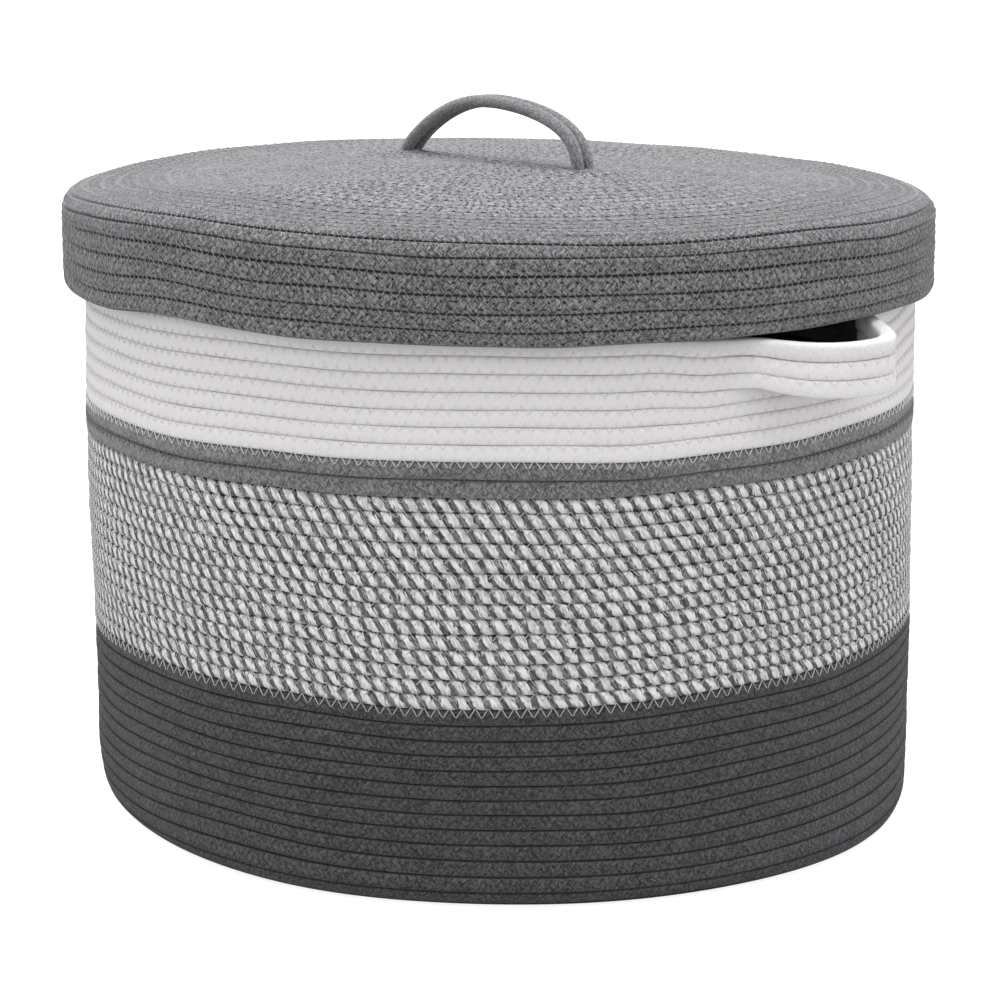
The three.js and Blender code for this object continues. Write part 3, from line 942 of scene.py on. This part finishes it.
def braid(tree, along, around, pick, yarns_each, bars):
    """Yarns in two crossing sets, each over and under the other: strokes, fibres and relief."""
    picks = along * (1 / pick)
    carriers = around * BRAID_CARRIERS
    set_a = picks + carriers
    set_b = picks - carriers
    over = ((set_a.math("FLOOR") + set_b.math("FLOOR")) * 0.5).math("FRACT") * 2
    across_yarn = set_a.towards(set_b, over)
    along_yarn = set_b.towards(set_a, over)
    ribbon = (across_yarn.math("FRACT") * math.pi).math("SINE")
    float_end = (along_yarn.math("FRACT") * math.pi).math("SINE").math("POWER", 0.4)
    yarns = across_yarn * yarns_each
    between_yarns = (yarns * math.pi).math("SINE").math("ABSOLUTE")
    staggered = along_yarn * bars + yarns.math("FLOOR") * 0.37
    strokes = random_cell(tree, yarns, staggered, over * 2 + 0.5)
    fibres = noise(tree, (yarns * 2, along_yarn * bars * 2.5, over * 7), 1.0, 2, 0.7)
    return strokes, fibres, ribbon * float_end * 0.3 + between_yarns * 0.7


def braided_rope(name, dark, middle, light, rope, stitch, sheen=0.12, contrast=1.0,
                 hole_shade=0.5, hole_size=HOLE_SIZE, seam_shade=0.5, relief_depth=0.35 * MM,
                 top=False):
    """A braided sleeve, with painted shade at seams, needle holes and between yarns. Flush rows
    have dashes of painted shade for seams.
    """
    material, tree, shader = new_material(name, 0.95, sheen)
    along, around, flush = split(tree, "weave")
    flush = flush.math("MAXIMUM", 0)
    strokes, fibres, relief = braid(tree, along, around, BRAID_PICK, BRAID_YARNS, BRAID_BARS)
    if top:
        flat = braid(tree, along, around, FLUSH_PICK, FLUSH_YARNS, FLUSH_BARS)
        strokes, fibres, relief = (
            side.towards(above, flush) for side, above in zip((strokes, fibres, relief), flat))
    patches = noise(tree, None, PATCH_NOISE, 2)
    # Needle holes: painted shade in the colour, and dents in the bump
    holes = needle_holes(tree, rope / 2, stitch, size=hole_size, flush=flush)
    below, _, _ = split(tree, "sewing")
    # Dashes that break the painted seam shade on flush rows
    uneven = noise(tree, None, DASH_NOISE, 1).between(0.32, 0.52)
    dashes = (below * TURN).math("SINE").between(-0.6, 0.2) * uneven
    opened = (flush * -1.0 + 1.0) + flush * dashes * 1.3
    # Painted shade in the groove between rows, darkest at the seam
    seam = near_seam(tree, rope / 2, SEAM_WIDTH, SEAM_CORE, flush * FLUSH_SEAM)
    seam = seam * opened * (strokes * 0.8 + 0.45)
    # The relief term is painted shade between yarns and where a yarn passes under the other set
    tone = (
        (strokes - 0.5) * 0.9 + (relief - 0.6) * 0.8
        + (fibres - 0.5) * 2.0 + (patches - 0.5) * 0.25
    )
    # Painted shade at holes and seams. Flush rows are painted lighter: painted light for the sheen
    # and top lamp on the lid's top; on the white rope every row but a handle's open top row gets
    # the same lift
    tone = tone * contrast + flush * 0.08 + 0.5 - holes * hole_shade - seam * seam_shade
    colour = painted(tree, [(0.0, dark), (0.5, middle), (1.0, light)], tone)
    tree.links.new(colour, shader.inputs["Base Color"])
    height = relief * 0.7 + strokes * 0.3 + fibres * 0.3 - holes * 1.2
    raise_surface(tree, shader, height, relief_depth)
    return material


def twisted_rope(name, pale, grey):
    """Strands of loose yarns, pale and grey in turn, with yarns that stray over their edges, and
    painted shade between yarns, at needle holes and in seams.
    """
    material, tree, shader = new_material(name, 0.95, 0.12)
    across, kind, number = split(tree, "strand")
    along, _, _ = split(tree, "weave")
    yarns = across * 4 + along * (1 / YARN_SLANT)
    between_yarns = (yarns * math.pi).math("SINE").math("ABSOLUTE")
    staggered = along * (1 / STROKE_LENGTH) + yarns.math("FLOOR") * 0.37
    strokes = random_cell(tree, yarns, staggered, number + 0.5)
    fibre = noise(tree, (across * 9, along * (1 / FIBRE_LENGTH), number * 5), 1.0, 3, 0.7)
    stray = noise(tree, (across * 3, along * (1 / STRAY_LENGTH), number * 3), 1.0, 2)
    steps = random_cell(tree, along * (1 / STEP_LENGTH), across * 2, number + 0.5)
    strayed = across + (stray - 0.5) * 0.6 + (steps - 0.5) * 0.3
    own = strayed.between(0.0, 0.03) * strayed.between(1.0, 0.97)
    kind = (kind * -1.0 + 1.0).towards(kind, own)
    holes = needle_holes(tree, TWIST_ROPE / 2, TWIST_STITCH, *TWIST_REACH)
    seam = near_seam(tree, TWIST_ROPE / 2, TWIST_SEAM, SEAM_CORE)
    # Painted shade: between yarns, at needle holes, and in the seams, deeper on the grey strands
    tone = (
        (strokes - 0.5) * 0.8 + (between_yarns - 0.6) * 0.5
        + (fibre - 0.5) * 1.9 + 0.5 - holes * 0.4 - seam * (kind * 0.4 + 0.25)
    )
    colour = mixed(
        tree,
        painted(tree, [(0.0, pale[0]), (0.5, pale[1]), (1.0, pale[2])], tone),
        painted(tree, [(0.0, grey[0]), (0.5, grey[1]), (1.0, grey[2])], tone),
        kind,
    )
    tree.links.new(colour, shader.inputs["Base Color"])
    raise_surface(tree, shader, fibre * 0.6 + between_yarns * 0.5 - holes * 1.0, 0.45 * MM)
    return material


def thread_material(name, colour, shadow):
    """Fine thread, with a grain between its colour and a darker one."""
    material, tree, shader = new_material(name, 0.8, 0.0)
    grain = noise(tree, None, THREAD_NOISE, 2)
    grained = painted(tree, [(0.3, shadow), (0.7, colour)], grain)
    tree.links.new(grained, shader.inputs["Base Color"])
    raise_surface(tree, shader, grain, 0.1 * MM)
    return material


def grey(level, cool=0):
    """A grey, bluer by cool steps."""
    return (level, level, level + cool)


charcoal_rope = braided_rope(
    "charcoal_rope", grey(22), grey(56, 2), grey(100, 3), CHARCOAL_ROPE, BODY_STITCH,
    sheen=0.16, contrast=1.35, seam_shade=0.6)
stripe_rope = braided_rope(
    "stripe_rope", grey(38), grey(97, 1), grey(157, 1), STRIPE_ROPE, BODY_STITCH,
    sheen=0.45, contrast=1.3, seam_shade=0.6)
white_rope = braided_rope(
    "white_rope", (186, 180, 176), (225, 222, 222), (238, 238, 240), WHITE_ROPE, BODY_STITCH,
    contrast=0.25, hole_shade=0.2, hole_size=0.5 * MM, seam_shade=0.08, relief_depth=0.08 * MM)
lid_rope = braided_rope(
    "lid_rope", grey(12), grey(94, 1), grey(170, 3), LID_ROPE, LID_STITCH,
    sheen=0.24, seam_shade=0.9, hole_shade=0.9, hole_size=1.2 * MM, top=True)
loop_rope = braided_rope(
    "loop_rope", grey(41), grey(107, 2), grey(164, 3), LOOP_ROPE * 4, LID_STITCH,
    sheen=0.5, hole_shade=0, seam_shade=0)
twist_rope = twisted_rope(
    "twist_rope",
    [(180, 179, 182), (232, 231, 233), (246, 246, 249)],
    [grey(44), grey(102), grey(158)],
)
pale_thread = thread_material("pale_thread", (222, 221, 218), (176, 175, 172))
lid_thread = thread_material("lid_thread", (176, 176, 178), (116, 116, 118))
grey_thread = thread_material("grey_thread", (150, 150, 152), (104, 104, 106))
white_thread = thread_material("white_thread", (240, 239, 236), (214, 212, 209))


# Ropes of the body
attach(sweep(
    "base_rope", coil_route(body, COIL_START, first.charcoal, CHARCOAL_ROPE), braid_section,
    charcoal_rope, "charcoal_rope", ["base_coil"]), "basket")
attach(sweep(
    "charcoal_wall_rope", coil_route(body, first.charcoal, first.twist, CHARCOAL_ROPE),
    braid_section, charcoal_rope, "charcoal_rope", ["charcoal_wall"]), "basket")

twist_cuts = np.linspace(first.twist, first.stripe, 4)
for part, start, end in zip(("low", "middle", "high"), twist_cuts, twist_cuts[1:]):
    rope = sweep(
        f"twist_rope_{part}", coil_route(body, start, end, TWIST_ROPE, TWIST_STITCH, TWIST_STEP),
        twist_section, twist_rope, "twist_rope", ["twist_wall"], strands=TWIST_STRANDS)
    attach(rope, "basket")


def sewn_both_sides(u):
    """0 on the top row of a handle, which is open above, and 1 on the other white rows."""
    free = smooth(handle_out(SPLICE_ANGLE + TURN * u) / (0.1 * HANDLE_REACH))
    return 1 - free * ((u >= first.rim - 1) & (u < first.rim))


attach(sweep(
    "stripe_rope", coil_route(body, first.stripe, first.white, STRIPE_ROPE), braid_section,
    stripe_rope, "stripe_rope", ["stripe_wall"]), "basket")
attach(sweep(
    "white_rope",
    coil_route(body, first.white, last_turn - COIL_END, WHITE_ROPE, flush=sewn_both_sides),
    braid_section, white_rope, "white_rope", ["white_wall", "handle_rows", "rim_rows"],
    flush_section=white_section), "basket")

# Lid rope
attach(sweep(
    "lid_rope",
    coil_route(lid, COIL_START, lid_last - COIL_END, LID_ROPE, LID_STITCH, flush=lid_flush),
    braid_section, lid_rope, "lid_rope", ["lid_top", "lid_skirt"]), "lid")


# Thread: the body's seams from the top charcoal row up, and the seams of the lid
def loose(u):
    """True where a handle's rows have left the row below or above them, so nothing is sewn."""
    angle = SPLICE_ANGLE + TURN * u
    parted = handle_out(angle) > 0.02 * HANDLE_REACH
    low_seam = (u >= first.handle) & (u < first.handle + 1)
    high_seam = (u >= first.rim) & (u < first.rim + 1)
    dipped = np.abs(from_handle(angle)) < DIP_HALF_SPAN
    return (parted & low_seam) | (dipped & high_seam)


runs = [
    ("charcoal_twist_thread", first.twist, first.twist + 1, CHARCOAL_ROPE, TWIST_ROPE,
     braid_section, pale_thread, "twist_rope", BODY_STITCH, 4.3 * MM, 1.4 * MM, 0, THREAD),
    ("twist_thread", first.twist + 1, first.stripe + 1, TWIST_ROPE, TWIST_ROPE,
     twist_section, pale_thread, "twist_rope", TWIST_STITCH, *TWIST_REACH, 0.2 * MM, THREAD),
    ("stripe_thread", first.stripe + 1, first.white, STRIPE_ROPE, STRIPE_ROPE,
     braid_section, grey_thread, "stripe_rope", BODY_STITCH, REACH, REACH, 0.35 * MM, THREAD),
    ("stripe_white_thread", first.white, first.white + 1, STRIPE_ROPE, WHITE_ROPE,
     braid_section, white_thread, "white_rope", BODY_STITCH, 3.4 * MM, 2.0 * MM, 0, THREAD),
    ("white_thread", first.white + 1, last_turn - 1, WHITE_ROPE, WHITE_ROPE,
     white_section, white_thread, "white_rope", BODY_STITCH, REACH, REACH, 0.35 * MM, 0.6 * THREAD),
]
for name, *sewing in runs:
    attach(stitch_run(name, body, *sewing, skip=loose), "basket")
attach(stitch_run(
    "lid_thread", lid, 1.5, lid_last - 1, LID_ROPE, LID_ROPE, braid_section,
    lid_thread, "lid_rope", LID_STITCH), "lid")


# Rope loop: two lengths side by side, from under the lid, up through it and back
lid_surface = lid_meridian.at(LOOP_HALF_SPAN)[1][0] + LID_ROPE / 2


def loop_route(side):
    """The middle line of the front length, side -1, or the back one, side 1."""
    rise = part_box("loop_rope_front")[1].z - LOOP_ROPE / 2 - lid_surface
    half = np.linspace(0, math.pi, 61)
    fuller = (LOOP_FULLNESS_RIGHT - LOOP_FULLNESS_LEFT) * smooth(half / math.pi)
    power = 2 / (LOOP_FULLNESS_LEFT + fuller)
    x = -np.sign(np.cos(half)) * np.abs(np.cos(half)) ** power * LOOP_HALF_SPAN
    z = lid_surface + rise * np.abs(np.sin(half)) ** power
    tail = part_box("loop_tail_left_front")[0].z + LOOP_ROPE / 2
    corner = np.linspace(0, math.pi / 2, 7)
    run = np.linspace(1, 0, 5)[:-1]
    tail_x = np.concatenate([
        run * (LOOP_TAIL - LOOP_BEND) + LOOP_BEND, LOOP_BEND * (1 - np.sin(corner))])
    tail_z = np.concatenate([0 * run, LOOP_BEND * (1 - np.cos(corner))]) + tail
    x = np.concatenate([-LOOP_HALF_SPAN - tail_x, x, (LOOP_HALF_SPAN + tail_x)[::-1]])
    z = np.concatenate([tail_z, z, tail_z[::-1]])
    y = np.full(len(x), side * (LOOP_ROPE + LOOP_GAP) / 2)
    corners = np.stack([x + LOOP_SHIFT, y, z], 1)
    steps = np.linalg.norm(np.diff(corners, axis=0), axis=1)
    length = np.concatenate([[0], np.cumsum(steps)])
    even = np.linspace(0, length[-1], round(length[-1] / LOOP_STEP))
    points = np.stack([np.interp(even, length, corners[:, i]) for i in range(3)], 1)
    for _ in range(6):
        points[1:-1] = (points[:-2] + 2 * points[1:-1] + points[2:]) / 4
    along = np.gradient(points, axis=0)
    along /= np.linalg.norm(along, axis=1)[:, None]
    out = np.tile([0, -1.0, 0], (len(points), 1))
    up = np.cross(out, along)
    radius = np.full(len(points), LOOP_ROPE / 2)
    none = np.zeros(len(points))
    return SimpleNamespace(
        points=points, up=up, out=out, half_width=radius, half_depth=radius,
        flare_low=none, flare_high=none, sewn_below=none, sewn_above=none, flush=none)


for side, place in ((-1, "front"), (1, "back")):
    rope = sweep(
        f"loop_{place}", loop_route(side), round_section, loop_rope, "lid_rope",
        [f"loop_rope_{place}", f"loop_tail_left_{place}", f"loop_tail_right_{place}"])
    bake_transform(rope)


# Floor and backdrop: white to the camera, with the object's shadow
def shown(tree):
    """1 where the camera sees a surface, also in or through another, and 0 where it only lights."""
    path = tree.nodes.new("ShaderNodeLightPath")
    seen, mirrored, passed = (
        Value(tree, path.outputs[name])
        for name in ("Is Camera Ray", "Is Glossy Ray", "Is Transmission Ray"))
    return seen.math("MAXIMUM", mirrored).math("MAXIMUM", passed)


def floor_material():
    material = bpy.data.materials.new("floor")
    material.use_nodes = True
    tree = material.node_tree
    shader = tree.nodes["Principled BSDF"]
    shader.inputs["Base Color"].default_value = (FLOOR_GREY, FLOOR_GREY, FLOOR_GREY, 1)
    shader.inputs["Roughness"].default_value = 1.0
    shader.inputs["Specular IOR Level"].default_value = 0.0
    glow = tree.nodes.new("ShaderNodeEmission")
    tree.links.new((shown(tree) * FLOOR_GLOW).socket, glow.inputs["Strength"])
    both = tree.nodes.new("ShaderNodeAddShader")
    tree.links.new(shader.outputs[0], both.inputs[0])
    tree.links.new(glow.outputs[0], both.inputs[1])
    tree.links.new(both.outputs[0], tree.nodes["Material Output"].inputs["Surface"])
    return material


floor_mesh = bpy.data.meshes.new("floor")
floor_corners = [(-1, -1), (1, -1), (1, 1), (-1, 1)]
floor_mesh.from_pydata(
    [(x * FLOOR_REACH, y * FLOOR_REACH, 0) for x, y in floor_corners], [], [(0, 1, 2, 3)])
floor_mesh.materials.append(floor_material())
floor = bpy.data.objects.new("floor", floor_mesh)
floor.location.z = -0.2 * MM
bpy.context.scene.collection.objects.link(floor)

world = bpy.data.worlds.new("studio")
bpy.context.scene.world = world
world.use_nodes = True
tree = world.node_tree
sky = tree.nodes["Background"]
sky.inputs["Color"].default_value = (1, 1, 1, 1)
strength = shown(tree) * (1 - SURROUNDINGS) + SURROUNDINGS
tree.links.new(strength.socket, sky.inputs["Strength"])


def area_light(name, place, size, power):
    """A round lamp that faces the basket's middle."""
    lamp = bpy.data.lights.new(name, "AREA")
    lamp.shape = "DISK"
    lamp.size = size
    lamp.energy = power
    light = bpy.data.objects.new(name, lamp)
    turn = (Vector(LAMP_AIM) - Vector(place)).to_track_quat("-Z", "Y")
    light.matrix_world = Matrix.Translation(place) @ turn.to_matrix().to_4x4()
    bpy.context.scene.collection.objects.link(light)


def round_the_view(bearing, distance, height):
    """A place by its bearing from the camera's side, in degrees to the right."""
    angle = BEARING + math.radians(bearing)
    return (distance * math.sin(angle), -distance * math.cos(angle), height)


for name, bearing, distance, height, size, power in LAMPS:
    area_light(name, round_the_view(bearing, distance, height), size, power)

# The photograph's camera
camera = bpy.data.cameras.new("camera")
camera.sensor_width = 36
camera.lens = CAMERA_LENS
camera.shift_x = CAMERA_SHIFT
viewer = bpy.data.objects.new("camera", camera)
viewer.matrix_world = (
    Matrix.Translation(round_the_view(0, CAMERA_DISTANCE, CAMERA_HEIGHT))
    @ Matrix.Rotation(BEARING, 4, "Z")
    @ Matrix.Rotation(math.pi / 2 - CAMERA_PITCH, 4, "X")
    @ Matrix.Rotation(CAMERA_ROLL, 4, "Z")
)
bpy.context.scene.collection.objects.link(viewer)
bpy.context.scene.camera = viewer
bpy.context.scene.view_settings.view_transform = "Standard"
